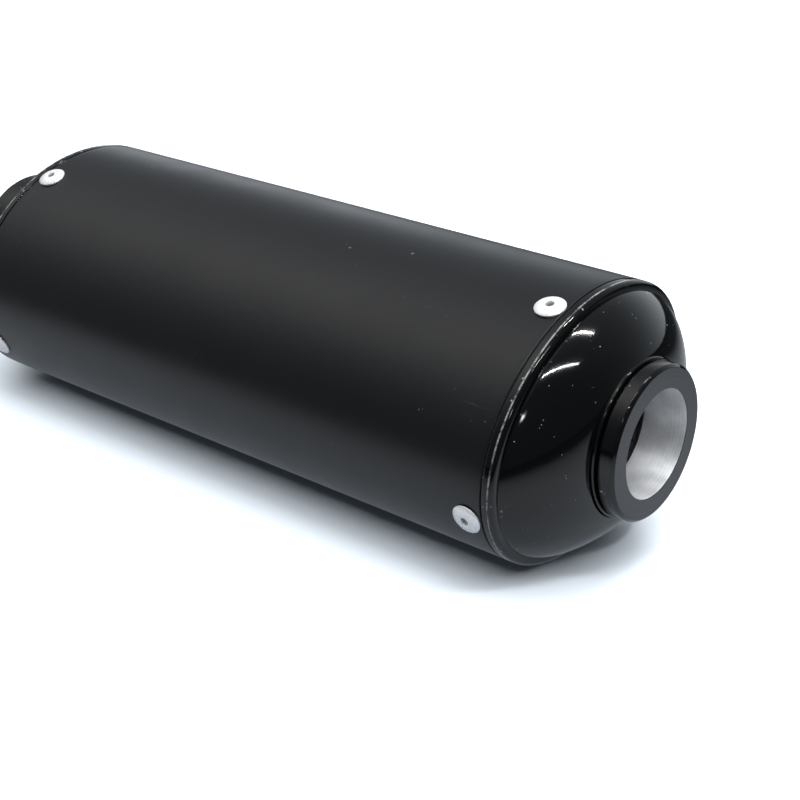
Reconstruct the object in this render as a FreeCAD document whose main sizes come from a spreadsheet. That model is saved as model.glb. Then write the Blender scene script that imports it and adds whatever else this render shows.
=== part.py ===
import FreeCAD, Part

# Oval absorption silencer for a small motorcycle: an oval sleeve with a domed cap riveted
# into each end, a perforated core wrapped in wool and glass packing, a turned ring in each
# cap's neck, and an inlet socket whose pipe is held by two set screws.
# Millimetres. The gas path runs along +X. The origin is the centre of the inlet socket's
# mouth. +Y is the wide axis of the oval and +Z its narrow axis. Angles run from +Z towards
# +Y.
# Every sub-part is drawn with its own z along the gas path and its own x along the wide
# axis, and its Placement turns it into the frame above.

import os

import Sketcher

SIZES = {
    # sleeve
    "SleeveWidth": 102.0,
    "SleeveHeight": 79.0,
    "SleeveLength": 224.0,
    "SleeveWall": 1.5,
    # caps, measured outwards from the sleeve's edge
    "SealWidth": 0.4,
    "SealRecess": 0.6,
    "SkirtGap": 0.15,
    "SkirtDepth": 10.0,
    "RimEnd": 4.1,
    "RimRound": 1.3,
    "RimEdge": 0.4,
    "DomeStart": 3.3,
    "DomeInset": 2.4,
    "DomeRise": 16.6,
    "DomePower": 1.387,
    "DomeShoulder": 0.1,
    "CapWall": 3.0,
    "NeckRingStep": 1.6,
    "NeckRingStart": 17.5,
    "NeckRingEnd": 20.4,
    "NeckRingRound": 0.5,
    "BossWall": 2.4,
    "BossStart": 2.0,
    # turned rings in the necks
    "CollarLip": 2.9,
    "CollarBack": 20.8,
    "CollarFace": 26.5,
    "CollarChamfer": 0.8,
    "InletCollarLip": 5.2,
    "InletCollarFace": 31.0,
    "PressWall": 2.0,
    "PressLength": 4.0,
    "PressGap": 0.02,
    "SpigotLength": 5.0,
    "OutletBore": 33.5,
    # core, socket and packing
    "SocketBore": 35.0,
    "SocketWall": 1.5,
    "SocketProud": 6.0,
    "SocketOverlap": 12.0,
    "SocketFit": 0.03,
    "CoreFit": 0.05,
    "CoreWall": 1.2,
    "CoreSlip": 0.15,
    "CoreEndGap": 0.5,
    "HoleDiameter": 4.0,
    "HoleRows": 19,
    "HolesRound": 10,
    "HoleMargin": 12.0,
    "WoolThickness": 4.0,
    "PackingGap": 0.3,
    # blind rivets
    "RivetHole": 4.9,
    "RivetShank": 4.8,
    "RivetHead": 9.5,
    "RivetHeadHeight": 1.5,
    "RivetHeadRound": 1.1,
    "RivetInset": 5.0,
    "OutletRivetTurn": 0.0,
    "InletRivetTurn": -6.4,
    "RivetBulb": 6.8,
    "RivetBulbHeight": 3.2,
    "RivetSeat": 0.05,
    "BulbSeat": 0.35,
    "MandrelDiameter": 2.6,
    "MandrelHead": 3.6,
    "MandrelRecess": 0.9,
    # set screws
    "ScrewDiameter": 5.0,
    "ScrewFit": 0.03,
    "ScrewTip": 1.2,
    "ScrewTipGap": 0.1,
    "ScrewSink": 0.6,
    "ScrewSocket": 2.5,
    "ScrewSocketDepth": 2.5,
    "ScrewRoom": 0.4,
}

# Lengths that several sub-parts share, as expressions over the sheet.
HALF_WIDTH = "Sizes.SleeveWidth / 2"
HALF_HEIGHT = "Sizes.SleeveHeight / 2"
INNER_WIDTH = "(Sizes.SleeveWidth / 2 - Sizes.SleeveWall)"
INNER_HEIGHT = "(Sizes.SleeveHeight / 2 - Sizes.SleeveWall)"
DOME_WIDTH = "(Sizes.SleeveWidth / 2 - Sizes.DomeInset)"
DOME_HEIGHT = "(Sizes.SleeveHeight / 2 - Sizes.DomeInset)"
SOCKET_IN = "Sizes.SocketBore / 2"
SOCKET_OUT = "(Sizes.SocketBore / 2 + Sizes.SocketWall)"
CORE_IN = f"({SOCKET_OUT} + Sizes.CoreFit)"
CORE_OUT = f"({CORE_IN} + Sizes.CoreWall)"
BOSS_BORE = f"({CORE_OUT} + Sizes.CoreSlip)"
BOSS_OUT = f"({BOSS_BORE} + Sizes.BossWall)"
DOME_TOP = f"({BOSS_OUT} + Sizes.DomeShoulder)"
NECK_RING = f"({DOME_TOP} + Sizes.NeckRingStep)"
PRESS_OUT = f"({SOCKET_OUT} + Sizes.PressWall)"
NECK_BORE = f"({PRESS_OUT} + Sizes.PressGap)"
COLLAR_OUT = f"({PRESS_OUT} + Sizes.CollarLip)"
INLET_COLLAR_OUT = f"({PRESS_OUT} + Sizes.InletCollarLip)"
NECK_STEP = "(Sizes.CollarBack - Sizes.PressLength)"
CORE_END = f"({NECK_STEP} - Sizes.CoreEndGap)"
SLEEVE_START = "(Sizes.SocketProud + Sizes.InletCollarFace)"
SLEEVE_MIDDLE = f"({SLEEVE_START} + Sizes.SleeveLength / 2)"
SLEEVE_END = f"({SLEEVE_START} + Sizes.SleeveLength)"
CORE_LENGTH = f"(Sizes.SleeveLength + 2 * {CORE_END})"
PACKING_LENGTH = "(Sizes.SleeveLength - 2 * Sizes.SkirtDepth - 2 * Sizes.PackingGap)"
WOOL_OUT = f"({CORE_OUT} + Sizes.WoolThickness)"
SKIRT_IN = "(Sizes.DomeInset + Sizes.CapWall)"
RIVETS_AT = {
    "Inlet": (f"({SLEEVE_START} + Sizes.RivetInset)", "Sizes.InletRivetTurn"),
    "Outlet": (f"({SLEEVE_END} - Sizes.RivetInset)", "Sizes.OutletRivetTurn"),
}
SCREWS_AT = f"({SLEEVE_START} - (Sizes.CollarBack + Sizes.InletCollarFace) / 2)"
SCREW_SIDES = {"Far": "90", "Bottom": "180"}

X_AXIS = FreeCAD.Vector(1, 0, 0)
ALONG_AXIS = FreeCAD.Rotation(FreeCAD.Vector(1, 1, 1), 120)
DOME_ANGLES = (8, 22, 36, 50, 63, 76)

doc = FreeCAD.newDocument("Silencer")
nodes = {}


def make_sheet():
    """Put every driving size in a spreadsheet cell with its name as alias."""
    sheet = doc.addObject("Spreadsheet::Sheet", "Sizes")
    for row, (name, size) in enumerate(SIZES.items(), start=1):
        sheet.set(f"A{row}", name)
        sheet.set(f"B{row}", str(size))
        sheet.setAlias(f"B{row}", name)
    doc.recompute()
    return sheet


sheet = make_sheet()


def value(expression):
    """The present value of an expression over the sheet, in millimetres."""
    result = sheet.evalExpression(expression)
    return float(getattr(result, "Value", result))


def set_at(shape_object, start):
    """Set a piece drawn along its own z at its place along the gas path."""
    shape_object.Placement = FreeCAD.Placement(FreeCAD.Vector(value(start), 0, 0), ALONG_AXIS)
    shape_object.setExpression("Placement.Base.x", start)
    return shape_object


def keep(node, shape_object):
    """Name a finished sub-part."""
    shape_object.Label = node
    nodes[node] = shape_object


# ---------------------------------------------------------------- sketch helpers


def origin_plane(body, role):
    """One of the body's own origin planes, found by its role."""
    return next(feature for feature in body.Origin.OriginFeatures if feature.Role == role)


def new_sketch(body, name, role="XY_Plane", offset=None):
    """A sketch on an origin plane, lifted along the plane's normal by an expression."""
    sketch = body.newObject("Sketcher::SketchObject", name)
    sketch.AttachmentSupport = [(origin_plane(body, role), "")]
    sketch.MapMode = "FlatFace"
    if offset is not None:
        sketch.setExpression("AttachmentOffset.Base.z", offset)
    return sketch


def bind(sketch, kind, expression, *where):
    """Add a dimension to the sketch and tie it to an expression."""
    index = sketch.addConstraint(Sketcher.Constraint(kind, *where, value(expression)))
    sketch.setExpression(f"Constraints[{index}]", expression)


def add_circle(sketch, radius):
    """A circle about the sketch's origin."""
    circle = Part.Circle(FreeCAD.Vector(0, 0, 0), FreeCAD.Vector(0, 0, 1), value(radius))
    index = sketch.addGeometry(circle)
    sketch.addConstraint(Sketcher.Constraint("Coincident", index, 3, -1, 1))
    bind(sketch, "Radius", radius, index)


def add_oval(sketch, half_width, half_height):
    """An ellipse about the sketch's origin, wide along the sketch's x."""
    shape = Part.Ellipse(FreeCAD.Vector(0, 0, 0), value(half_width), value(half_height))
    curve = sketch.addGeometry(shape)
    sketch.exposeInternalGeometry(curve)
    sketch.addConstraint(Sketcher.Constraint("Coincident", curve, 3, -1, 1))
    sketch.addConstraint(Sketcher.Constraint("Horizontal", curve + 1))
    bind(sketch, "Distance", f"2 * ({half_width})", curve + 1)
    bind(sketch, "Distance", f"2 * ({half_height})", curve + 2)


def add_outline(sketch, points):
    """A closed outline of straight lines through corners given as pairs of expressions."""
    corners = [FreeCAD.Vector(value(across), value(along), 0) for across, along in points]
    count = len(corners)
    first = sketch.GeometryCount
    for index in range(count):
        line = Part.LineSegment(corners[index], corners[(index + 1) % count])
        sketch.addGeometry(line)
    for index in range(count):
        here = first + index
        after = first + (index + 1) % count
        sketch.addConstraint(Sketcher.Constraint("Coincident", here, 2, after, 1))
    for index, (across, along) in enumerate(points):
        for kind, expression, axis in (("DistanceX", across, -2), ("DistanceY", along, -1)):
            if expression == "0":
                sketch.addConstraint(Sketcher.Constraint("PointOnObject", first + index, 1, axis))
            else:
                bind(sketch, kind, expression, -1, 1, first + index, 1)


# ---------------------------------------------------------------- feature helpers


def new_body(name):
    """An empty PartDesign body."""
    return doc.addObject("PartDesign::Body", name)


def pad(body, sketch, length):
    """Raise a sketch along its normal."""
    feature = body.newObject("PartDesign::Pad", f"{sketch.Name}_pad")
    feature.Profile = sketch
    feature.setExpression("Length", length)
    doc.recompute()
    return feature


def pad_ring(body, name, outer, inner, start, length):
    """A round tube about the body's z."""
    sketch = new_sketch(body, name, offset=start)
    add_circle(sketch, outer)
    add_circle(sketch, inner)
    return pad(body, sketch, length)


def cut(body, feature, reason):
    """Recompute a cutting feature and make sure that it removed material."""
    before = body.Shape.Volume
    doc.recompute()
    if not body.Shape.Volume < before - 0.01:
        raise RuntimeError(f"{body.Name}: {reason} cut nothing")
    return feature


def cut_up(body, sketch, length, reason):
    """Cut a sketch towards the body's +z by a length."""
    doc.recompute()
    feature = body.newObject("PartDesign::Pocket", f"{sketch.Name}_cut")
    feature.Profile = sketch
    feature.Reversed = True
    feature.setExpression("Length", length)
    return cut(body, feature, reason)


def turn(body, name, points, kind="Revolution"):
    """Turn an outline of (radius, height) corners about the body's z."""
    sketch = new_sketch(body, name, "XZ_Plane")
    add_outline(sketch, points)
    doc.recompute()
    feature = body.newObject(f"PartDesign::{kind}", f"{name}_turned")
    feature.Profile = sketch
    feature.ReferenceAxis = (sketch, ["V_Axis"])
    feature.Angle = 360
    doc.recompute()
    return feature


def edges_at(shape, height, radius):
    """Names of the round edges at a height whose far point lies at a radius."""
    found = []
    for index, edge in enumerate(shape.Edges, start=1):
        box = edge.BoundBox
        flat = abs(box.ZMin - height) < 1e-3 and abs(box.ZMax - height) < 1e-3
        if flat and abs(box.XMax - radius) < 1e-2:
            found.append(f"Edge{index}")
    return found


def dress(body, kind, name, height, radius, size_name, size):
    """Fillet or chamfer the round edge at a height and a radius."""
    doc.recompute()
    base = body.Tip
    edges = edges_at(base.Shape, value(height), value(radius))
    if not edges:
        raise RuntimeError(f"{body.Name}: no edge for {name}")
    feature = body.newObject(f"PartDesign::{kind}", name)
    feature.Base = (base, edges)
    feature.setExpression(size_name, size)
    doc.recompute()
    return feature


def stand_out(item, place, along, angle):
    """Set an object on the gas path's axis, its own z pointing outwards at an angle."""
    setattr(item, place, FreeCAD.Placement(FreeCAD.Vector(), FreeCAD.Rotation(X_AXIS, 0)))
    item.setExpression(f"{place}.Base.x", along)
    item.setExpression(f"{place}.Rotation.Angle", f"-({angle})")


def around_oval(name, body, end):
    """Four links to a body, square to the oval at an end's four rivets, in one compound."""
    along, start = RIVETS_AT[end]
    links = []
    for quarter in range(4):
        angle = f"({90 * quarter} + {start})"
        link = doc.addObject("App::Link", f"{name}{quarter}")
        link.LinkedObject = body
        link.LinkTransform = False
        square = f"atan2({HALF_HEIGHT} * sin({angle}); {HALF_WIDTH} * cos({angle}))"
        stand_out(link, "LinkPlacement", along, square)
        link.setExpression("LinkPlacement.Base.y", f"{HALF_WIDTH} * sin({angle})")
        link.setExpression("LinkPlacement.Base.z", f"{HALF_HEIGHT} * cos({angle})")
        links.append(link)
    return compound(name, links)


def compound(name, pieces):
    """Several objects as one."""
    group = doc.addObject("Part::Compound", name)
    group.Links = pieces
    return group


def less(name, base, tool):
    """A piece less its drills."""
    result = doc.addObject("Part::Cut", name)
    result.Base = base
    result.Tool = tool
    doc.recompute()
    if not result.Shape.Volume < base.Shape.Volume - 0.01:
        raise RuntimeError(f"{name}: the drills cut nothing")
    return result


def make_rivet_drills():
    """Drills through sleeve and skirt for the four rivets of each end."""
    drill = new_body("RivetDrill")
    reach = f"2 * {SKIRT_IN}"
    turn(drill, "RivetDrillOutline", (
        ("0", f"-{reach}"),
        ("Sizes.RivetHole / 2", f"-{reach}"),
        ("Sizes.RivetHole / 2", reach),
        ("0", reach),
    ))
    return {end: around_oval(f"{end}Drills", drill, end) for end in RIVETS_AT}


def make_screw_drills(name, radius):
    """Drills outwards from the gas path for the set screws."""
    drills = []
    for side, angle in SCREW_SIDES.items():
        drill = doc.addObject("Part::Cylinder", f"{name}{side}")
        drill.setExpression("Radius", radius)
        drill.setExpression("Height", f"2 * {INLET_COLLAR_OUT}")
        stand_out(drill, "Placement", SCREWS_AT, angle)
        drills.append(drill)
    return compound(name, drills)


# ---------------------------------------------------------------- sleeve and packing


def oval_tube(name, outer, inner, start, length):
    """A body that is an oval tube; outer and inner are pairs of half widths and heights."""
    body = new_body(name)
    sketch = new_sketch(body, f"{name}_oval", offset=start)
    add_oval(sketch, *outer)
    add_oval(sketch, *inner)
    pad(body, sketch, length)
    return body


def make_sleeve():
    """Oval shell with four rivet holes near each edge."""
    body = oval_tube(
        "Sleeve", (HALF_WIDTH, HALF_HEIGHT), (INNER_WIDTH, INNER_HEIGHT), "0", "Sizes.SleeveLength"
    )
    drills = compound("SleeveDrills", list(rivet_drills.values()))
    keep("sleeve", less("DrilledSleeve", set_at(body, SLEEVE_START), drills))


def make_packing():
    """Glass fibre that fills the oval between the caps, round the steel wool."""
    start = "Sizes.SkirtDepth + Sizes.PackingGap"
    body = new_body("Packing")
    sketch = new_sketch(body, "PackingOval", offset=start)
    add_oval(sketch, f"{INNER_WIDTH} - Sizes.PackingGap", f"{INNER_HEIGHT} - Sizes.PackingGap")
    add_circle(sketch, f"{WOOL_OUT} + Sizes.PackingGap")
    pad(body, sketch, PACKING_LENGTH)
    keep("glass_packing", set_at(body, SLEEVE_START))


def make_wool():
    """Stainless wool wound on the core."""
    body = new_body("Wool")
    start = "Sizes.SkirtDepth + Sizes.PackingGap"
    pad_ring(body, "WoolRing", WOOL_OUT, f"{CORE_OUT} + Sizes.CoreFit", start, PACKING_LENGTH)
    keep("steel_wool_wrap", set_at(body, SLEEVE_START))


def make_core():
    """Perforated tube from neck to neck, its holes staggered between the two skirts."""
    tube = doc.addObject("Part::Cylinder", "CoreTube")
    tube.setExpression("Radius", CORE_OUT)
    tube.setExpression("Height", CORE_LENGTH)
    bore = doc.addObject("Part::Cylinder", "CoreBore")
    bore.setExpression("Radius", CORE_IN)
    bore.setExpression("Height", CORE_LENGTH)
    rows = int(value("Sizes.HoleRows"))
    around = int(value("Sizes.HolesRound"))
    first = value(f"{CORE_END} + Sizes.SkirtDepth + Sizes.HoleMargin")
    pitch = (value(CORE_LENGTH) - 2 * first) / (rows - 1)
    pin = Part.makeCylinder(value("Sizes.HoleDiameter") / 2, value(CORE_OUT) * 1.2)
    pins = []
    for row in range(rows):
        for step in range(around):
            angle = 360 * (step + 0.5 * (row % 2)) / around
            spin = FreeCAD.Rotation(FreeCAD.Vector(0, 0, 1), angle)
            tip = FreeCAD.Rotation(FreeCAD.Vector(0, 1, 0), 90)
            place = FreeCAD.Placement(FreeCAD.Vector(0, 0, first + row * pitch), spin * tip)
            pins.append(pin.transformed(place.toMatrix()))
    holes = doc.addObject("Part::Feature", "CoreHoles")
    holes.Shape = Part.makeCompound(pins)
    wall = doc.addObject("Part::Cut", "CoreWallTube")
    wall.Base = tube
    wall.Tool = bore
    core = doc.addObject("Part::Cut", "Core")
    core.Base = wall
    core.Tool = holes
    keep("perforated_core", set_at(core, f"{SLEEVE_START} - {CORE_END}"))


# ---------------------------------------------------------------- caps


def dome_section(body, name, angle, wall, top_radius):
    """One oval of the dome at an angle up its quarter curve, inset by a wall."""
    spread = f"cos({angle}) ^ Sizes.DomePower"
    half_width = f"({top_radius} + ({DOME_WIDTH} - {wall} - {top_radius}) * {spread})"
    half_height = f"({top_radius} + ({DOME_HEIGHT} - {wall} - {top_radius}) * {spread})"
    height = f"Sizes.DomeStart + (Sizes.DomeRise - {wall}) * sin({angle}) ^ Sizes.DomePower"
    sketch = new_sketch(body, name, offset=height)
    add_oval(sketch, half_width, half_height)
    return sketch


def dome_sections(body, name, wall, top_radius):
    """The dome's sections from its foot to the round top."""
    foot = new_sketch(body, f"{name}Foot", offset="Sizes.DomeStart")
    add_oval(foot, f"{DOME_WIDTH} - {wall}", f"{DOME_HEIGHT} - {wall}")
    sections = [foot]
    for index, angle in enumerate(DOME_ANGLES):
        sections.append(dome_section(body, f"{name}{index}", angle, wall, top_radius))
    top = new_sketch(body, f"{name}Top", offset=f"Sizes.DomeStart + Sizes.DomeRise - {wall}")
    add_circle(top, top_radius)
    sections.append(top)
    doc.recompute()
    return sections


def loft(body, kind, name, sections):
    """A smooth loft through sections."""
    feature = body.newObject(f"PartDesign::{kind}", name)
    feature.Profile = sections[0]
    feature.Sections = sections[1:]
    doc.recompute()
    return feature


def make_cap_body():
    """The cap: rim, skirt, hollow dome, neck ring and the boss that holds the core."""
    body = new_body("Cap")
    skirt = new_sketch(body, "Skirt", offset="-Sizes.SkirtDepth")
    add_oval(skirt, f"{INNER_WIDTH} - Sizes.SkirtGap", f"{INNER_HEIGHT} - Sizes.SkirtGap")
    pad(body, skirt, "Sizes.SkirtDepth + Sizes.DomeStart")
    rim = new_sketch(body, "Rim", offset="Sizes.SealWidth")
    add_oval(rim, HALF_WIDTH, HALF_HEIGHT)
    pad(body, rim, "Sizes.RimEnd - Sizes.SealWidth")
    dress(body, "Fillet", "RimFront", "Sizes.RimEnd", HALF_WIDTH, "Radius", "Sizes.RimRound")
    dress(body, "Fillet", "RimBack", "Sizes.SealWidth", HALF_WIDTH, "Radius", "Sizes.RimEdge")
    dome = dome_sections(body, "Dome", "0", DOME_TOP)
    loft(body, "AdditiveLoft", "DomeShell", dome)
    ring = new_sketch(body, "NeckRing", offset="Sizes.NeckRingStart")
    add_circle(ring, NECK_RING)
    pad(body, ring, "Sizes.NeckRingEnd - Sizes.NeckRingStart")
    dress(body, "Fillet", "NeckRingEdge", "Sizes.NeckRingEnd", NECK_RING,
          "Radius", "Sizes.NeckRingRound")
    hollow_cap(body)
    return body


def hollow_cap(body):
    """Open the cap from below, then put the boss back and bore it for core and collar."""
    mouth = new_sketch(body, "Mouth", offset="-Sizes.SkirtDepth")
    add_oval(mouth, f"{HALF_WIDTH} - {SKIRT_IN}", f"{HALF_HEIGHT} - {SKIRT_IN}")
    cut_up(body, mouth, "Sizes.SkirtDepth + Sizes.DomeStart", "the skirt's mouth")
    hollow = dome_sections(body, "Hollow", "Sizes.CapWall", CORE_OUT)
    before = body.Shape.Volume
    loft(body, "SubtractiveLoft", "DomeHollow", hollow)
    if not body.Shape.Volume < before:
        raise RuntimeError("the dome's hollow cut nothing")
    boss = new_sketch(body, "Boss", offset="Sizes.BossStart")
    add_circle(boss, BOSS_OUT)
    pad(body, boss, f"{NECK_STEP} - Sizes.BossStart")
    turn(body, "Bores", (
        ("0", "Sizes.BossStart / 2"),
        (BOSS_BORE, "Sizes.BossStart / 2"),
        (BOSS_BORE, NECK_STEP),
        (NECK_BORE, NECK_STEP),
        (NECK_BORE, "Sizes.NeckRingEnd + Sizes.SealWidth"),
        ("0", "Sizes.NeckRingEnd + Sizes.SealWidth"),
    ), "Groove")


def mirrored(name, source):
    """The same piece at the inlet end, mirrored about the sleeve's middle."""
    copy = doc.addObject("Part::Mirroring", name)
    copy.Source = source
    copy.Normal = FreeCAD.Vector(1, 0, 0)
    copy.setExpression("Base.x", SLEEVE_MIDDLE)
    return copy


def make_caps():
    """Two matching caps, each drilled for the rivets of its own end."""
    outlet = set_at(make_cap_body(), SLEEVE_END)
    keep("outlet_cap", less("OutletCap", outlet, rivet_drills["Outlet"]))
    inlet = mirrored("InletCapBlank", outlet)
    doc.recompute()
    keep("inlet_cap", less("InletCap", inlet, rivet_drills["Inlet"]))


def make_seals():
    """A bead of sealant between the sleeve's edge and each cap's rim, a little recessed."""
    outer = (f"{HALF_WIDTH} - Sizes.SealRecess", f"{HALF_HEIGHT} - Sizes.SealRecess")
    inner = (f"{INNER_WIDTH} - Sizes.SkirtGap / 2", f"{INNER_HEIGHT} - Sizes.SkirtGap / 2")
    body = oval_tube("Seal", outer, inner, "0", "Sizes.SealWidth")
    outlet = set_at(body, SLEEVE_END)
    keep("outlet_cap_seal", outlet)
    keep("inlet_cap_seal", mirrored("InletSeal", outlet))


def collar_outline(bore, radius, face):
    """Head and press section of a turned ring, from the press section's foot to the face."""
    chamfer = "Sizes.CollarChamfer"
    return [
        (bore, NECK_STEP),
        (PRESS_OUT, NECK_STEP),
        (PRESS_OUT, "Sizes.CollarBack"),
        (f"{radius} - {chamfer}", "Sizes.CollarBack"),
        (radius, f"Sizes.CollarBack + {chamfer}"),
        (radius, f"{face} - {chamfer}"),
        (f"{radius} - {chamfer}", face),
        (bore, face),
    ]


def make_outlet_collar():
    """The outlet ring with its spigot inside the core."""
    body = new_body("OutletCollar")
    bore = "Sizes.OutletBore / 2"
    spigot_end = f"{NECK_STEP} - Sizes.SpigotLength"
    points = collar_outline(bore, COLLAR_OUT, "Sizes.CollarFace")
    points[0:1] = [(bore, spigot_end), (SOCKET_OUT, spigot_end), (SOCKET_OUT, NECK_STEP)]
    turn(body, "OutletCollarOutline", points)
    keep("outlet_collar", set_at(body, SLEEVE_END))


def make_inlet_collar():
    """The wider, longer inlet ring round the socket, drilled for the set screws."""
    body = new_body("InletCollarBlank")
    bore = f"{SOCKET_OUT} + Sizes.SocketFit"
    points = collar_outline(bore, INLET_COLLAR_OUT, "Sizes.InletCollarFace")
    turn(body, "InletCollarOutline", points)
    body.Placement = FreeCAD.Placement(
        FreeCAD.Vector(value(SLEEVE_START), 0, 0),
        FreeCAD.Rotation(FreeCAD.Vector(0, 1, 0), -90),
    )
    body.setExpression("Placement.Base.x", SLEEVE_START)
    drills = make_screw_drills("CollarDrills", "Sizes.ScrewDiameter / 2 + Sizes.ScrewFit")
    keep("inlet_collar", less("InletCollar", body, drills))


def make_socket():
    """Inlet tube from its mouth into the core, with room for the set screws."""
    body = new_body("Socket")
    length = f"{SLEEVE_START} - {CORE_END} + Sizes.SocketOverlap"
    pad_ring(body, "SocketRing", SOCKET_OUT, SOCKET_IN, "0", length)
    drills = make_screw_drills("SocketDrills", "Sizes.ScrewDiameter / 2 + Sizes.ScrewRoom")
    keep("inlet_tube", less("DrilledSocket", set_at(body, "0"), drills))


def make_screws():
    """Hexagon-socket set screws, sunk in the inlet ring and just clear of the socket's bore."""
    body = new_body("Screw")
    radius = "Sizes.ScrewDiameter / 2"
    tip = f"({SOCKET_IN} + Sizes.ScrewTipGap)"
    top = f"({INLET_COLLAR_OUT} - Sizes.ScrewSink)"
    turn(body, "ScrewOutline", (
        ("0", tip),
        (f"{radius} - Sizes.ScrewTip", tip),
        (radius, f"{tip} + Sizes.ScrewTip"),
        (radius, top),
        ("0", top),
    ))
    corner = "Sizes.ScrewSocket / 2 / cos(30)"
    flat = "Sizes.ScrewSocket / 2"
    sketch = new_sketch(body, "ScrewKey", offset=f"{top} - Sizes.ScrewSocketDepth")
    add_outline(sketch, (
        (corner, "0"),
        (f"{corner} / 2", flat),
        (f"-{corner} / 2", flat),
        (f"-{corner}", "0"),
        (f"-{corner} / 2", f"-{flat}"),
        (f"{corner} / 2", f"-{flat}"),
    ))
    cut_up(body, sketch, "Sizes.ScrewSocketDepth + Sizes.ScrewSink", "the key's socket")
    links = []
    for side, angle in SCREW_SIDES.items():
        link = doc.addObject("App::Link", f"Screw{side}")
        link.LinkedObject = body
        link.LinkTransform = False
        stand_out(link, "LinkPlacement", SCREWS_AT, angle)
        links.append(link)
    keep("inlet_set_screws", compound("Screws", links))


# ---------------------------------------------------------------- blind rivets


def turned_rivet():
    """A set rivet: domed head above its seat, shank through both walls, bulb behind."""
    body = new_body("Rivet")
    shank = "Sizes.RivetShank / 2"
    bulb = "Sizes.RivetBulb / 2"
    bore = "Sizes.MandrelDiameter / 2"
    back = f"-({SKIRT_IN} + Sizes.BulbSeat)"
    foot = f"-({SKIRT_IN} + Sizes.RivetBulbHeight)"
    turn(body, "RivetOutline", (
        (bore, foot),
        (bulb, foot),
        (bulb, back),
        (shank, back),
        (shank, "Sizes.RivetSeat"),
        ("Sizes.RivetHead / 2", "Sizes.RivetSeat"),
        ("Sizes.RivetHead / 2", "Sizes.RivetSeat + Sizes.RivetHeadHeight"),
        (bore, "Sizes.RivetSeat + Sizes.RivetHeadHeight"),
    ))
    dress(body, "Fillet", "RivetDome", "Sizes.RivetSeat + Sizes.RivetHeadHeight",
          "Sizes.RivetHead / 2", "Radius", "Sizes.RivetHeadRound")
    return body


def turned_mandrel():
    """The broken pin left in a set rivet, with its head behind the bulb."""
    body = new_body("Mandrel")
    pin = "(Sizes.MandrelDiameter / 2 - Sizes.SocketFit)"
    foot = f"-({SKIRT_IN} + Sizes.RivetBulbHeight)"
    turn(body, "MandrelOutline", (
        ("0", f"{foot} - Sizes.MandrelHead / 2"),
        ("Sizes.MandrelHead / 2", f"{foot} - Sizes.MandrelHead / 2"),
        ("Sizes.MandrelHead / 2", foot),
        (pin, foot),
        (pin, "Sizes.RivetHeadHeight - Sizes.MandrelRecess"),
        ("0", "Sizes.RivetHeadHeight - Sizes.MandrelRecess"),
    ))
    return body


def make_rivets():
    """Four rivets and their mandrels at each end."""
    for node, body in (("rivets", turned_rivet()), ("rivet_mandrels", turned_mandrel())):
        for end in RIVETS_AT:
            keep(f"{end.lower()}_{node}", around_oval(f"{end}{body.Name}s", body, end))


# ---------------------------------------------------------------- build, check, write


def check_and_write():
    """Recompute, refuse failed objects and bad shapes, then write one file per node."""
    doc.recompute()
    for item in doc.Objects:
        if "Invalid" in item.State or "Error" in item.State:
            raise RuntimeError(f"{item.Name} is {item.State}")
    for node, item in nodes.items():
        if item.Shape.isNull() or not item.Shape.isValid():
            raise RuntimeError(f"{node} has a bad shape")
    os.makedirs("parts", exist_ok=True)
    for node, item in nodes.items():
        item.Shape.exportStep(f"parts/{node}.step")
        box = item.Shape.BoundBox
        print(f"{node}: {len(item.Shape.Solids)} solid(s), {item.Shape.Volume:.0f} mm3, "
              f"x {box.XMin:.1f} to {box.XMax:.1f}")


rivet_drills = make_rivet_drills()
make_sleeve()
make_caps()
make_seals()
make_outlet_collar()
make_inlet_collar()
make_socket()
make_core()
make_wool()
make_packing()
make_rivets()
make_screws()
check_and_write()
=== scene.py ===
"""Looks of an oval absorption muffler: satin sleeve, domed gloss caps, turned neck rings,
blind rivets and an inlet socket with set screws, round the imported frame."""

import logging
import math
from collections.abc import Sequence
from dataclasses import dataclass, field
from enum import Enum, IntEnum

import bmesh
import bpy
import numpy as np
from bpy.types import Material, NodeSocket, Object
from mathutils import Euler, Matrix, Vector


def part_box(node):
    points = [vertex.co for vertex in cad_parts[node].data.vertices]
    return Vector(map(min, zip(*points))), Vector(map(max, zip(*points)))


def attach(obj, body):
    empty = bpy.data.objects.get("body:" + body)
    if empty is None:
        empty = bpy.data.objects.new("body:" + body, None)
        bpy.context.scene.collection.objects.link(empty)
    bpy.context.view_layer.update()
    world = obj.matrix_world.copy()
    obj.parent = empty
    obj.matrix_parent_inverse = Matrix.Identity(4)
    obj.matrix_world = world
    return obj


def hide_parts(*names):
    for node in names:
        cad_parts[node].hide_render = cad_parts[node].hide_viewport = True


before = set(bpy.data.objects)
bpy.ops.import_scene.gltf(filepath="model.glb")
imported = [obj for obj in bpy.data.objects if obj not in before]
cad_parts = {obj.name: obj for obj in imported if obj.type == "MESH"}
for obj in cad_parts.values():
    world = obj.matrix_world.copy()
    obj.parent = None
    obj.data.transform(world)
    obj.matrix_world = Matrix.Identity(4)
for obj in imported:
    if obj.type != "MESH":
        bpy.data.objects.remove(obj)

log = logging.getLogger("muffler")
Three = tuple[float, float, float]
Four = tuple[float, float, float, float]
MM = 0.001
TURN = 2 * math.pi
SHARP_TURNED = 32.0
SHARP_RIVET = 35.0
WELD = 1e-7
INLET_RIVET_TURN = -6.4
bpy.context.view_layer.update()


# -------- shapes


class End(Enum):
    """An end of the muffler, with the sense of x that points out of it."""

    INLET = -1
    OUTLET = 1

    @property
    def title(self) -> str:
        """The end's name as the nodes begin with it."""
        return self.name.lower()


class Skin(IntEnum):
    """The sides of a neck ring, by the number of their finish."""

    GLOSS = 0
    FACE = 1
    BARE = 2


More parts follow.
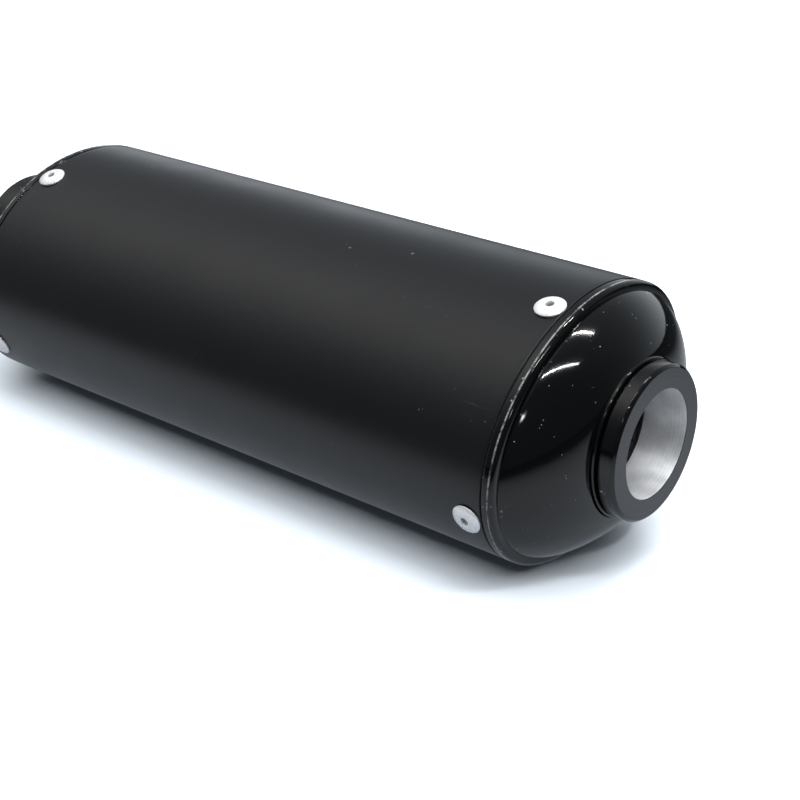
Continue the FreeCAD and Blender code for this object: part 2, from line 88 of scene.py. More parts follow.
def rounded(corners: Sequence[tuple[float, float]], radii: Sequence[float],
            steps: int = 5) -> np.ndarray:
    """Round the corners of a closed outline.

    Each corner gives way to the parabola that leaves one side at the radius's distance
    and meets the next side at the same distance.

    Args:
        corners: the outline's corners, in millimetres.
        radii: the distance that each corner is cut back by.
        steps: points on each rounded corner.

    Returns:
        The outline's points, in millimetres.
    """
    here = np.array(corners, float)[:, None, :]
    back = np.roll(here, 1, axis=0) - here
    ahead = np.roll(here, -1, axis=0) - here
    size = np.array(radii, float)[:, None, None]
    first = here + back / np.linalg.norm(back, axis=2, keepdims=True) * size
    last = here + ahead / np.linalg.norm(ahead, axis=2, keepdims=True) * size
    s = np.linspace(0, 1, steps)[None, :, None]
    curve = (1 - s) ** 2 * first + 2 * s * (1 - s) * here + s ** 2 * last
    return curve.reshape(-1, 2)


def evenly(outline: np.ndarray, step: float) -> np.ndarray:
    """Split the long sides of a closed outline into equal parts.

    Args:
        outline: points in millimetres, the last joined to the first.
        step: the longest side that is left whole.

    Returns:
        The outline with points added on its straight sides, and doubled points dropped.
    """
    after = np.roll(outline, -1, axis=0)
    lengths = np.linalg.norm(after - outline, axis=1)
    kept = lengths > 1e-6
    outline, after, lengths = outline[kept], after[kept], lengths[kept]
    counts = np.maximum(1, np.ceil(lengths / step)).astype(int)
    which = np.repeat(np.arange(len(counts)), counts)
    nth = np.arange(len(which)) - np.repeat(np.cumsum(counts) - counts, counts)
    share = (nth / counts[which])[:, None]
    return outline[which] * (1 - share) + after[which] * share


def around(stations: np.ndarray, columns: int) -> np.ndarray:
    """Carry a profile round the gas path.

    A station is a place along x with a half width and a half height; its ring is
    y = half width times the sine, z = half height times the cosine of the angle.

    Args:
        stations: rows of x, half width and half height, in millimetres.
        columns: points round each ring.

    Returns:
        Points of shape (rows, columns, 3), in metres.
    """
    angle = np.arange(columns) * TURN / columns
    x = np.repeat(stations[:, :1], columns, axis=1)
    y = stations[:, 1:2] * np.sin(angle)
    z = stations[:, 2:3] * np.cos(angle)
    return np.stack([x, y, z], axis=2) * MM


def as_circle(outline: np.ndarray) -> np.ndarray:
    """Stations of a round piece from an outline of x and radius."""
    return np.column_stack([outline[:, 0], outline[:, 1], outline[:, 1]])


def grid_faces(rows: int, columns: int) -> np.ndarray:
    """Corner numbers of the four-sided faces of a grid that closes both ways.

    Args:
        rows: points from first to last station.
        columns: points round a ring.

    Returns:
        Four corner numbers for each face.
    """
    i, j = np.meshgrid(np.arange(rows), np.arange(columns), indexing="ij")
    i, j = i.ravel(), j.ravel()
    down, right = (i + 1) % rows, (j + 1) % columns
    return np.column_stack([i * columns + j, i * columns + right,
                            down * columns + right, down * columns + j])


def volume(points: np.ndarray, faces: np.ndarray) -> float:
    """Signed volume that closed four-sided faces hold: the sum of their wedges.

    Args:
        points: the corners, in metres.
        faces: four corner numbers for each face.

    Returns:
        The volume, below zero when the faces point inwards.
    """
    a, b, c, d = (points[faces[:, k]] for k in range(4))
    wedges = np.einsum("ij,ij->i", a, np.cross(b, c)) + np.einsum("ij,ij->i", a, np.cross(c, d))
    return float(wedges.sum() / 6)


class Piece:
    """One finished mesh in the making, from one or more grids of points."""

    def __init__(self, name: str) -> None:
        """Start an empty piece.

        Args:
            name: the object's name.
        """
        self.name = name
        self.points: list[np.ndarray] = []
        self.faces: list[np.ndarray] = []
        self.slots: list[np.ndarray] = []
        self.count = 0

    def add(self, grid: np.ndarray, slot: int | np.ndarray = 0) -> "Piece":
        """Add a grid of points, closed both ways, as a surface that faces outwards.

        Args:
            grid: points of shape (rows, columns, 3), in metres.
            slot: a material slot number, or one for each row of faces.

        Returns:
            The piece itself.
        """
        rows, columns = grid.shape[:2]
        faces = grid_faces(rows, columns)
        flat = grid.reshape(-1, 3)
        if volume(flat, faces) < 0:
            faces = faces[:, ::-1]
        slots = np.full(len(faces), slot) if np.isscalar(slot) else np.repeat(slot, columns)
        self.points.append(flat)
        self.faces.append(faces + self.count)
        self.slots.append(slots)
        self.count += len(flat)
        return self

    def build(self, sharp: float = 40.0) -> Object:
        """Make the mesh, weld its poles and shade it smooth but for sharp edges.

        Args:
            sharp: the angle in degrees from which an edge shows.

        Returns:
            The object, at the origin.
        """
        mesh = bpy.data.meshes.new(self.name)
        points, faces = np.concatenate(self.points), np.concatenate(self.faces)
        mesh.from_pydata(points.tolist(), [], faces.tolist())
        mesh.polygons.foreach_set("material_index", np.concatenate(self.slots).astype(np.int32))
        solid = bmesh.new()
        solid.from_mesh(mesh)
        bmesh.ops.remove_doubles(solid, verts=solid.verts, dist=WELD)
        solid.to_mesh(mesh)
        solid.free()
        mesh.shade_smooth()
        mesh.set_sharp_from_angle(angle=math.radians(sharp))
        piece = bpy.data.objects.new(self.name, mesh)
        bpy.context.scene.collection.objects.link(piece)
        return piece


def finish_piece(piece: Object, nodes: Sequence[str],
                 materials: Sequence[Material]) -> Object:
    """Dress a piece, let it ride on the frame and stand for its CAD nodes.

    Args:
        piece: the object.
        nodes: the CAD nodes that it stands for.
        materials: the finishes, by slot number.

    Returns:
        The same object.
    """
    for material in materials:
        piece.data.materials.append(material)
    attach(piece, "root")
    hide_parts(*nodes)
    log.info("%s: %d faces, stands for %s", piece.name, len(piece.data.polygons), ", ".join(nodes))
    return piece


def millimetres(node: str) -> tuple[np.ndarray, np.ndarray]:
    """The lowest and highest corner of a CAD node, in millimetres."""
    low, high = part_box(node)
    return np.array(low) / MM, np.array(high) / MM


# -------- finishes


class Graph:
    """The node tree of a material or a world, with short ways to add and join nodes."""

    def __init__(self, name: str, world: bool = False) -> None:
        """Make a material or a world, with its shader and coordinates.

        Args:
            name: the name of the material or world.
            world: whether a world is made; its coordinates are directions.
        """
        self.owner = (bpy.data.worlds if world else bpy.data.materials).new(name)
        self.owner.use_nodes = True
        self.tree = self.owner.node_tree
        self.shader = self.tree.nodes["Background" if world else "Principled BSDF"]
        coordinates = self.node("ShaderNodeTexCoord")
        self.place = coordinates.outputs["Generated" if world else "Object"]

    def node(self, kind: str, **settings: object) -> bpy.types.Node:
        """Add a node and set its properties.

        Args:
            kind: the node's type.
            settings: its properties.

        Returns:
            The node.
        """
        node = self.tree.nodes.new(kind)
        for key, setting in settings.items():
            setattr(node, key, setting)
        return node

    def put(self, socket: NodeSocket, source: object) -> None:
        """Join a socket to another node's output, or set its value.

        Args:
            socket: the input.
            source: an output, or a value.
        """
        if isinstance(source, NodeSocket):
            self.tree.links.new(source, socket)
        else:
            socket.default_value = source

    def maths(self, operation: str, *sources: object, clamp: bool = False) -> NodeSocket:
        """A Math node over sockets or numbers.

        Args:
            operation: the node's operation.
            sources: outputs or numbers, in order.
            clamp: whether the result is held between 0 and 1.

        Returns:
            The result.
        """
        node = self.node("ShaderNodeMath", operation=operation, use_clamp=clamp)
        for socket, source in zip(node.inputs, sources):
            self.put(socket, source)
        return node.outputs[0]

    def vectors(self, operation: str, *sources: object) -> NodeSocket:
        """A Vector Math node over sockets or vectors.

        Args:
            operation: the node's operation.
            sources: outputs or vectors, in order.

        Returns:
            The result, a number for a dot product and else a vector.
        """
        node = self.node("ShaderNodeVectorMath", operation=operation)
        for socket, source in zip(node.inputs, sources):
            self.put(socket, source)
        return node.outputs["Value" if operation == "DOT_PRODUCT" else "Vector"]

    def mapped(self, scale: Three) -> NodeSocket:
        """Object coordinates stretched by a scale for each axis.

        Args:
            scale: the stretch along x, y and z.

        Returns:
            The coordinates.
        """
        node = self.node("ShaderNodeMapping")
        self.put(node.inputs["Vector"], self.place)
        node.inputs["Scale"].default_value = scale
        return node.outputs[0]

    def noise(self, scale: float, detail: float = 2.0, rough: float = 0.5,
              stretch: Three | None = None) -> NodeSocket:
        """Noise over object coordinates.

        Args:
            scale: waves to the metre.
            detail: octaves.
            rough: how much each octave adds.
            stretch: the stretch along x, y and z.

        Returns:
            The noise, from 0 to 1.
        """
        node = self.node("ShaderNodeTexNoise")
        self.put(node.inputs["Vector"], self.mapped(stretch) if stretch else self.place)
        node.inputs["Scale"].default_value = scale
        node.inputs["Detail"].default_value = detail
        node.inputs["Roughness"].default_value = rough
        return node.outputs["Fac"]

    def ramp(self, source: NodeSocket, low: float, high: float,
             bottom: float = 0.0, top: float = 1.0) -> NodeSocket:
        """Carry a value from the span low to high onto bottom to top, held at both ends.

        Args:
            source: the value.
            low: the start of its span.
            high: the end of its span.
            bottom: the result at the start.
            top: the result at the end.

        Returns:
            The result.
        """
        node = self.node("ShaderNodeMapRange", interpolation_type="SMOOTHSTEP")
        for key, number in (("From Min", low), ("From Max", high),
                            ("To Min", bottom), ("To Max", top)):
            node.inputs[key].default_value = number
        self.put(node.inputs["Value"], source)
        return node.outputs["Result"]

    def blend(self, share: object, first: object, second: object) -> NodeSocket:
        """Mix two colours by a share.

        Args:
            share: how much of the second colour shows.
            first: the first colour.
            second: the second colour.

        Returns:
            The colour.
        """
        node = self.node("ShaderNodeMix", data_type="RGBA")
        self.put(node.inputs[0], share)
        self.put(node.inputs[6], first)
        self.put(node.inputs[7], second)
        return node.outputs[2]

    def specks(self, scale: float, size: float, share: float) -> NodeSocket:
        """Scattered dots: cells whose own random number is under a share hold one dot.

        Args:
            scale: cells to the metre.
            size: a dot's radius, as a share of a cell.
            share: the share of cells with a dot.

        Returns:
            The dots, from 0 to 1.
        """
        cells = self.node("ShaderNodeTexVoronoi", feature="F1")
        self.put(cells.inputs["Vector"], self.place)
        cells.inputs["Scale"].default_value = scale
        dot = self.ramp(cells.outputs["Distance"], size * 0.6, size, 1.0, 0.0)
        tell = self.node("ShaderNodeSeparateColor")
        self.put(tell.inputs[0], cells.outputs["Color"])
        chosen = self.maths("LESS_THAN", tell.outputs[0], share)
        return self.maths("MULTIPLY", dot, chosen)

    def radius(self) -> NodeSocket:
        """Distance from the gas path's axis.

        Returns:
            The distance, in metres.
        """
        split = self.node("ShaderNodeSeparateXYZ")
        self.put(split.inputs[0], self.place)
        squares = self.maths("ADD", self.maths("POWER", split.outputs["Y"], 2.0),
                             self.maths("POWER", split.outputs["Z"], 2.0))
        return self.maths("SQRT", squares)

    def along(self) -> NodeSocket:
        """Place along the gas path.

        Returns:
            The place, in metres.
        """
        split = self.node("ShaderNodeSeparateXYZ")
        self.put(split.inputs[0], self.place)
        return split.outputs["X"]

    def turned(self, source: NodeSocket, pitch: float) -> NodeSocket:
        """Tool marks: noise along one measure only, at about one line to the pitch.

        Args:
            source: the measure.
            pitch: the width of a line, in metres.

        Returns:
            The marks, from 0 to 1.
        """
        node = self.node("ShaderNodeTexNoise", noise_dimensions="1D")
        self.put(node.inputs["W"], source)
        node.inputs["Scale"].default_value = 1 / pitch
        node.inputs["Detail"].default_value = 3.0
        return node.outputs["Fac"]

    def bump(self, *layers: tuple[NodeSocket, float]) -> None:
        """Raise the surface by layers of a height pattern and its depth in metres.

        Args:
            layers: the pattern and depth of each.
        """
        normal = None
        for height, depth in layers:
            node = self.node("ShaderNodeBump")
            node.inputs["Strength"].default_value = 1.0
            node.inputs["Distance"].default_value = depth
            self.put(node.inputs["Height"], height)
            if normal is not None:
                self.put(node.inputs["Normal"], normal)
            normal = node.outputs["Normal"]
        self.put(self.shader.inputs["Normal"], normal)

    def set(self, **values: object) -> "Graph":
        """Set or join the shader's sockets; underscores stand for spaces.

        Args:
            values: an output or a value for each socket.

        Returns:
            The graph itself.
        """
        for key, source in values.items():
            self.put(self.shader.inputs[key.replace("_", " ")], source)
        return self


@dataclass(frozen=True)
class Coating:
    """A black coating over aluminium: fine orange peel, dust and hairline marks."""

    name: str
    colour: Four
    dust: Four
    roughness: float
    spread: float
    peel: float
    peel_depth: float
    dust_share: float
    worn: bool = False
    crest: float = 0.0026

    def rim_wear(self, g: Graph) -> NodeSocket:
        """Wear on a cap's rim: a broken line along its crest, with chips on both sides.

        Args:
            g: the coating's graph.

        Returns:
            The wear, from 0 to 1.
        """
        (start, end) = (corner[0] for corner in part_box("sleeve"))
        from_middle = g.maths("ABSOLUTE", g.maths("SUBTRACT", g.along(), (start + end) / 2))
        from_edge = g.maths("SUBTRACT", from_middle, (end - start) / 2)
        off_crest = g.maths("ABSOLUTE", g.maths("SUBTRACT", from_edge, self.crest))
        line = g.maths("MULTIPLY", g.ramp(off_crest, 0.00005, 0.0004, 1.0, 0.0),
                       g.ramp(g.noise(260, 5, 0.75), 0.42, 0.6, 0.1, 1.0))
        patches = g.maths("MULTIPLY", g.specks(620, 0.3, 0.1), g.ramp(g.noise(90), 0.45, 0.6))
        chips = g.maths("MULTIPLY", g.ramp(off_crest, 0.0006, 0.0045, 1.0, 0.0), patches)
        return g.maths("MAXIMUM", line, chips)

    def make(self) -> Material:
        """Build the coating.

        Returns:
            The material.
        """
        g = Graph(self.name)
        cloud = g.noise(38, 4, 0.6)
        hairs = g.ramp(g.noise(420, 6, 0.7, stretch=(0.06, 1.0, 1.0)), 0.66, 0.72)
        dots = g.specks(240, 0.16, self.dust_share)
        fine = g.specks(900, 0.2, self.dust_share * 1.4)
        marks = g.maths("MAXIMUM", g.maths("MAXIMUM", dots, fine), g.maths("MULTIPLY", hairs, 0.12))
        patchy = g.maths("MULTIPLY", marks, g.ramp(cloud, 0.35, 0.65, 0.3, 1.0))
        if self.worn:
            patchy = g.maths("MAXIMUM", patchy, self.rim_wear(g))
        g.set(Base_Color=g.blend(patchy, self.colour, self.dust), IOR=1.5)
        shine = g.ramp(cloud, 0.3, 0.7, self.roughness - self.spread, self.roughness + self.spread)
        g.set(Roughness=g.maths("ADD", shine, g.maths("MULTIPLY", marks, 0.25), clamp=True))
        g.bump((g.noise(self.peel, 2, 0.5), self.peel_depth), (g.noise(6000, 2, 0.6), 0.0000012))
        return g.owner


@dataclass(frozen=True)
class Turned:
    """Bare or thinly coated metal from a lathe, with tool marks along or across the axis."""

    name: str
    colour: Four
    darker: Four
    metal: float
    roughness: float
    pitch: float
    depth: float
    across: bool = False

    def make(self) -> Material:
        """Build the turned finish.

        Returns:
            The material.
        """
        g = Graph(self.name)
        measure = g.radius() if self.across else g.along()
        lines = g.turned(measure, self.pitch)
        broad = g.turned(measure, self.pitch * 7)
        stain = g.noise(160, 4, 0.6)
        tone = g.maths("ADD", g.maths("MULTIPLY", lines, 0.5), g.maths("MULTIPLY", stain, 0.5))
        g.set(Base_Color=g.blend(g.ramp(tone, 0.35, 0.68), self.darker, self.colour),
              Metallic=self.metal)
        g.set(Roughness=g.ramp(g.maths("ADD", lines, g.maths("MULTIPLY", stain, 0.4)), 0.4, 0.9,
                               self.roughness * 0.8, self.roughness * 1.25))
        if not self.across:
            tangent = g.node("ShaderNodeTangent", direction_type="RADIAL", axis="X")
            g.set(Anisotropic=0.85, Anisotropic_Rotation=0.25, Tangent=tangent.outputs["Tangent"])
        g.bump((broad, self.depth * 2), (lines, self.depth))
        return g.owner


@dataclass(frozen=True)
class Worked:
    """Drawn, rolled or plated metal with mottling and light handling marks."""

    name: str
    colour: Four
    stained: Four
    metal: float
    roughness: float
    mottle: float
    grain: Three
    depth: float

    def make(self) -> Material:
        """Build the worked metal.

        Returns:
            The material.
        """
        g = Graph(self.name)
        mottle = g.noise(self.mottle, 5, 0.62)
        grain = g.noise(900, 4, 0.6, stretch=self.grain)
        pits = g.specks(self.mottle * 4, 0.25, 0.2)
        tone = g.ramp(g.maths("ADD", mottle, g.maths("MULTIPLY", pits, 0.3)), 0.42, 0.75)
        g.set(Base_Color=g.blend(tone, self.colour, self.stained), Metallic=self.metal)
        g.set(Roughness=g.ramp(g.maths("ADD", mottle, g.maths("MULTIPLY", grain, 0.5)), 0.5, 1.0,
                               self.roughness * 0.75, self.roughness * 1.3))
        g.bump((mottle, self.depth), (grain, self.depth * 0.5))
        return g.owner


@dataclass(frozen=True)
class Fibre:
    """Loose fibre or set sealant: matt, tangled, with strands of two tones."""

    name: str
    colour: Four
    shade: Four
    strands: float
    depth: float

    def make(self) -> Material:
        """Build the matt finish.

        Returns:
            The material.
        """
        g = Graph(self.name)
        tangle = g.noise(self.strands, 8, 0.75, stretch=(1.0, 0.35, 0.35))
        lumps = g.noise(self.strands / 12, 3, 0.5)
        g.set(Base_Color=g.blend(g.ramp(tangle, 0.35, 0.65), self.shade, self.colour))
        g.set(Roughness=g.ramp(lumps, 0.3, 0.7, 0.75, 0.95))
        g.bump((lumps, self.depth * 3), (tangle, self.depth))
        return g.owner


@dataclass(frozen=True)
class Finishes:
    """Every finish of the muffler, made once."""

    satin: Material
    gloss: Material
    ring_face: Material
    bare: Material
    rivet: Material
    mandrel: Material
    stainless: Material
    screw: Material
    sealant: Material
    core: Material
    wool: Material
    glass: Material


def make_finishes() -> Finishes:
    """Make the finishes from their recipes.

    Returns:
        The finished materials by name.
    """
    recipes = dict(
        satin=Coating("satin_black_coating", (0.004, 0.0042, 0.005, 1), (0.1, 0.1, 0.1, 1),
                      roughness=0.34, spread=0.025, peel=1100, peel_depth=0.000006,
                      dust_share=0.008),
        gloss=Coating("gloss_black_coating", (0.002, 0.0021, 0.0024, 1), (0.24, 0.25, 0.26, 1),
                      roughness=0.07, spread=0.02, peel=800, peel_depth=0.000009,
                      dust_share=0.035, worn=True),
        ring_face=Turned("collar_face_coating", (0.045, 0.047, 0.052, 1),
                         (0.033, 0.035, 0.039, 1), metal=0.1, roughness=0.42, pitch=0.00035,
                         depth=0.0000015, across=True),
        bare=Turned("bare_turned_aluminium", (0.86, 0.865, 0.88, 1), (0.62, 0.63, 0.65, 1),
                    metal=0.65, roughness=0.4, pitch=0.00028, depth=0.000003),
        rivet=Worked("rivet_aluminium", (0.84, 0.84, 0.85, 1), (0.74, 0.74, 0.76, 1),
                     metal=0.55, roughness=0.3, mottle=900, grain=(1, 1, 1),
                     depth=0.000005),
        mandrel=Worked("mandrel_steel", (0.3, 0.29, 0.28, 1), (0.12, 0.1, 0.09, 1),
                       metal=1.0, roughness=0.5, mottle=1500, grain=(1, 1, 1),
                       depth=0.00002),
        stainless=Worked("socket_stainless", (0.6, 0.585, 0.56, 1), (0.43, 0.38, 0.32, 1),
                         metal=1.0, roughness=0.27, mottle=60, grain=(0.02, 1.0, 1.0),
                         depth=0.000004),
        screw=Worked("screw_steel", (0.05, 0.05, 0.052, 1), (0.1, 0.09, 0.08, 1),
                     metal=0.8, roughness=0.4, mottle=700, grain=(1, 1, 1),
                     depth=0.000006),
        sealant=Fibre("dark_sealant", (0.02, 0.02, 0.021, 1), (0.008, 0.008, 0.008, 1),
                      strands=3000, depth=0.00002),
        core=Worked("core_steel", (0.3, 0.29, 0.28, 1), (0.06, 0.055, 0.05, 1),
                    metal=1.0, roughness=0.45, mottle=90, grain=(0.05, 1, 1),
                    depth=0.00001),
        wool=Fibre("steel_wool_fibre", (0.38, 0.38, 0.38, 1), (0.1, 0.1, 0.1, 1),
                   strands=2600, depth=0.00015),
        glass=Fibre("glass_fibre", (0.82, 0.8, 0.7, 1), (0.45, 0.42, 0.32, 1),
                    strands=1800, depth=0.0002),
    )
    return Finishes(**{name: recipe.make() for name, recipe in recipes.items()})


# -------- sleeve


@dataclass
class Sleeve:
    """The oval shell between the two caps, slightly uneven as rolled sheet is.

    A wave is its share, length in millimetres, turns round the oval and phase.
    """

    wall: float = 1.5
    edge: float = 0.35
    unevenness: float = 0.035
    waves: tuple[Four, ...] = ((1.0, 31, 2, 0.0), (0.7, 19, -3, 1.0), (0.5, 53, 5, 2.0))
    columns: int = 288
    rows: int = 96
    low: np.ndarray = field(default_factory=lambda: millimetres("sleeve")[0])
    high: np.ndarray = field(default_factory=lambda: millimetres("sleeve")[1])

    @property
    def half_width(self) -> float:
        """Half the oval's width."""
        return float(self.high[1])

    @property
    def half_height(self) -> float:
        """Half the oval's height."""
        return float(self.high[2])

    def stations(self) -> np.ndarray:
        """The wall's outline, carried round the oval.

        Returns:
            Rows of x, half width and half height.
        """
        start, end = self.low[0], self.high[0]
        outline = rounded([(start, 0), (end, 0), (end, self.wall), (start, self.wall)],
                          [self.edge] * 4)
        outline = evenly(outline, (end - start) / self.rows)
        return np.column_stack([outline[:, 0], self.half_width - outline[:, 1],
                                self.half_height - outline[:, 1]])

    def build(self, finishes: Finishes) -> None:
        """Build the shell; its waves are sums of slow sines along x and round the oval.

        Args:
            finishes: the finishes.
        """
        grid = around(self.stations(), self.columns)
        angle = np.arctan2(grid[..., 1] / self.half_width, grid[..., 2] / self.half_height)
        x = grid[..., 0] / MM
        wave = sum(share * np.sin(x / length + turns * angle + phase)
                   for share, length, turns, phase in self.waves)
        most = sum(share for share, *_ in self.waves)
        inward = 1 - self.unevenness * (1 + wave / most) / 2 / self.half_height
        grid[..., 1:] *= inward[..., None]
        piece = Piece("sleeve_shell").add(grid).build()
        finish_piece(piece, ["sleeve"], [finishes.satin])


# -------- caps


@dataclass
class Cap:
    """A domed cap that plugs into the sleeve: rim, groove, dome, neck ring and boss.

    The cap is worked out with x measured outwards from the sleeve's edge.
    """

    end: End
    edge_x: float
    half_width: float
    half_height: float
    seal: float = 0.4
    sleeve_wall: float = 1.5
    skirt_gap: float = 0.15
    skirt_depth: float = 10.0
    rim_end: float = 4.1
    rim_round: float = 1.5
    dome_start: float = 3.3
    dome_inset: float = 2.4
    dome_rise: float = 16.6
    dome_power: float = 1.387
    dome_top: float = 22.9
    wall: float = 3.0
    neck_radius: float = 24.5
    neck_end: float = 20.4
    neck_depth: float = 1.9
    neck_round: float = 0.55
    neck_bore: float = 21.02
    neck_step: float = 16.8
    boss_bore: float = 20.4
    boss_radius: float = 22.8
    boss_start: float = 2.0
    hollow_top: float = 20.25
    neck_gap: float = 0.6
    rim_gap: float = 0.3
    boss_gap: float = 0.4
    first_angle: float = 0.19
    outer_rows: int = 64
    hollow_rows: int = 40
    steps: int = 7
    longest_side: float = 1.2
    open_points: int = 8
    columns: int = 288

    def rim(self) -> np.ndarray:
        """Skirt and rim: a rounded outline that follows the oval.

        Returns:
            Rows of x, half width and half height.
        """
        skirt = self.sleeve_wall + self.skirt_gap
        corners = [(-self.skirt_depth, skirt + 1), (-self.skirt_depth, skirt), (self.seal, skirt),
                   (self.seal, 0.05), (self.rim_end, 0.05),
                   (self.rim_end + 0.25, self.dome_inset + 0.75), (self.rim_end, skirt + 1)]
        cuts = [0, 0.3, 0, 0.45, self.rim_round, 0.45, 0]
        outline = rounded(corners, cuts, self.steps)[self.steps:-self.steps]
        return np.column_stack([outline[:, 0], self.half_width - outline[:, 1],
                                self.half_height - outline[:, 1]])

    def dome(self, wall: float, top: float, first: float, rows: int) -> np.ndarray:
        """Dome stations from rim to neck.

        At an angle t up the quarter curve the half width is the top radius plus the spread
        times cosine t to a power, and x is the start plus the rise times sine t to it.

        Args:
            wall: how far inside the outer surface this skin lies.
            top: the radius at the neck.
            first: the angle at which the skin starts.
            rows: the number of stations.

        Returns:
            Rows of x, half width and half height.
        """
        t = np.linspace(first, math.pi / 2, rows)
        spread = np.cos(t).clip(0) ** self.dome_power
        inset = self.dome_inset + wall
        x = self.dome_start + (self.dome_rise - wall) * np.sin(t) ** self.dome_power
        return np.column_stack([x, top + (self.half_width - inset - top) * spread,
                                top + (self.half_height - inset - top) * spread])

    def neck(self) -> np.ndarray:
        """Neck ring, bore, core seat and boss, as a rounded outline.

        Returns:
            Rows of x and two equal radii.
        """
        foot = self.neck_end - self.neck_depth
        corners = [(foot, self.neck_radius), (self.neck_end, self.neck_radius),
                   (self.neck_end, self.neck_bore), (self.neck_step, self.neck_bore),
                   (self.neck_step, self.boss_bore), (self.boss_start, self.boss_bore),
                   (self.boss_start, self.boss_radius), (self.neck_step, self.boss_radius)]
        cuts = [0, self.neck_round, 0.2, 0, 0, 0.3, 0.3, 0]
        outline = evenly(rounded(corners, cuts, self.steps), self.longest_side)
        return as_circle(outline[:-self.open_points])

    def build(self, finishes: Finishes) -> None:
        """Build the cap as one closed shell and set it at its end of the sleeve.

        Args:
            finishes: the finishes.
        """
        outer = self.dome(0.0, self.dome_top, self.first_angle, self.outer_rows)
        outer = outer[(outer[:, 1] > self.neck_radius + self.neck_gap)
                      & (outer[:, 0] > self.rim_end + self.rim_gap)]
        hollow = self.dome(self.wall, self.hollow_top, 0.0, self.hollow_rows)[::-1]
        hollow = hollow[hollow[:, 1] > self.boss_radius + self.boss_gap]
        skirt_in = hollow[-1] * (0, 1, 1) - (self.skirt_depth, 0, 0)
        stations = np.concatenate([self.rim(), outer, self.neck(), hollow, skirt_in[None]])
        grid = around(stations, self.columns)
        grid[..., 0] = self.edge_x * MM + self.end.value * grid[..., 0]
        cap = f"{self.end.title}_cap"
        piece = Piece(f"{cap}_casting").add(grid).build(SHARP_TURNED)
        finish_piece(piece, [cap], [finishes.gloss])


# -------- neck rings


@dataclass
class NeckRing:
    """A turned ring pressed into a cap's neck, measured outwards from the sleeve's edge."""

    end: End
    slot: str
    edge_x: float
    bore: float
    spigot: float | None
    radius: float = 23.9
    back: float = 20.8
    face: float = 26.5
    press_radius: float = 21.0
    press_end: float = 16.8
    spigot_end: float = 11.8
    back_chamfer: float = 0.7
    face_chamfer: float = 0.9
    bore_edge: float = 0.18
    columns: int = 240

    def outline(self) -> tuple[np.ndarray, np.ndarray]:
        """The ring's outline and the finish of each side.

        Returns:
            Rows of x and radius, and a slot number for each row.
        """
        corners = [(self.press_end, self.press_radius), (self.back, self.press_radius),
                   (self.back, self.radius - self.back_chamfer),
                   (self.back + self.back_chamfer, self.radius),
                   (self.face - self.face_chamfer, self.radius),
                   (self.face, self.radius - self.face_chamfer),
                   (self.face, self.bore + self.bore_edge),
                   (self.face - self.bore_edge, self.bore)]
        cuts = [0.2, 0, 0.18, 0.25, 0.25, 0.22, 0.06, 0.06]
        if self.spigot is None:
            corners.append((self.press_end, self.bore))
            cuts.append(0.2)
        else:
            corners += [(self.spigot_end, self.bore), (self.spigot_end, self.spigot),
                        (self.press_end, self.spigot)]
            cuts += [0.2, 0.2, 0]
        outline = evenly(rounded(corners, cuts, 5), 0.5)
        x, r = ((outline + np.roll(outline, -1, axis=0)) / 2).T
        finish = np.full(len(outline), Skin.GLOSS, int)
        finish[(x > self.face - 0.05) & (r < self.radius - self.face_chamfer + 0.1)] = Skin.FACE
        finish[(r < self.bore + 0.03) & (r > self.bore - 1)] = Skin.BARE
        return outline, finish

    def build(self, finishes: Finishes) -> None:
        """Turn the outline about the axis; coated side and face, bare bore.

        Args:
            finishes: the finishes.
        """
        outline, finish = self.outline()
        grid = around(as_circle(outline), self.columns)
        grid[..., 0] = self.edge_x * MM + self.end.value * grid[..., 0]
        collar = f"{self.end.title}_collar"
        piece = Piece(f"{collar}_ring").add(grid, finish).build(SHARP_TURNED)
        finish_piece(piece, [collar],
                     [finishes.gloss, finishes.ring_face, finishes.bare])


# -------- rivets


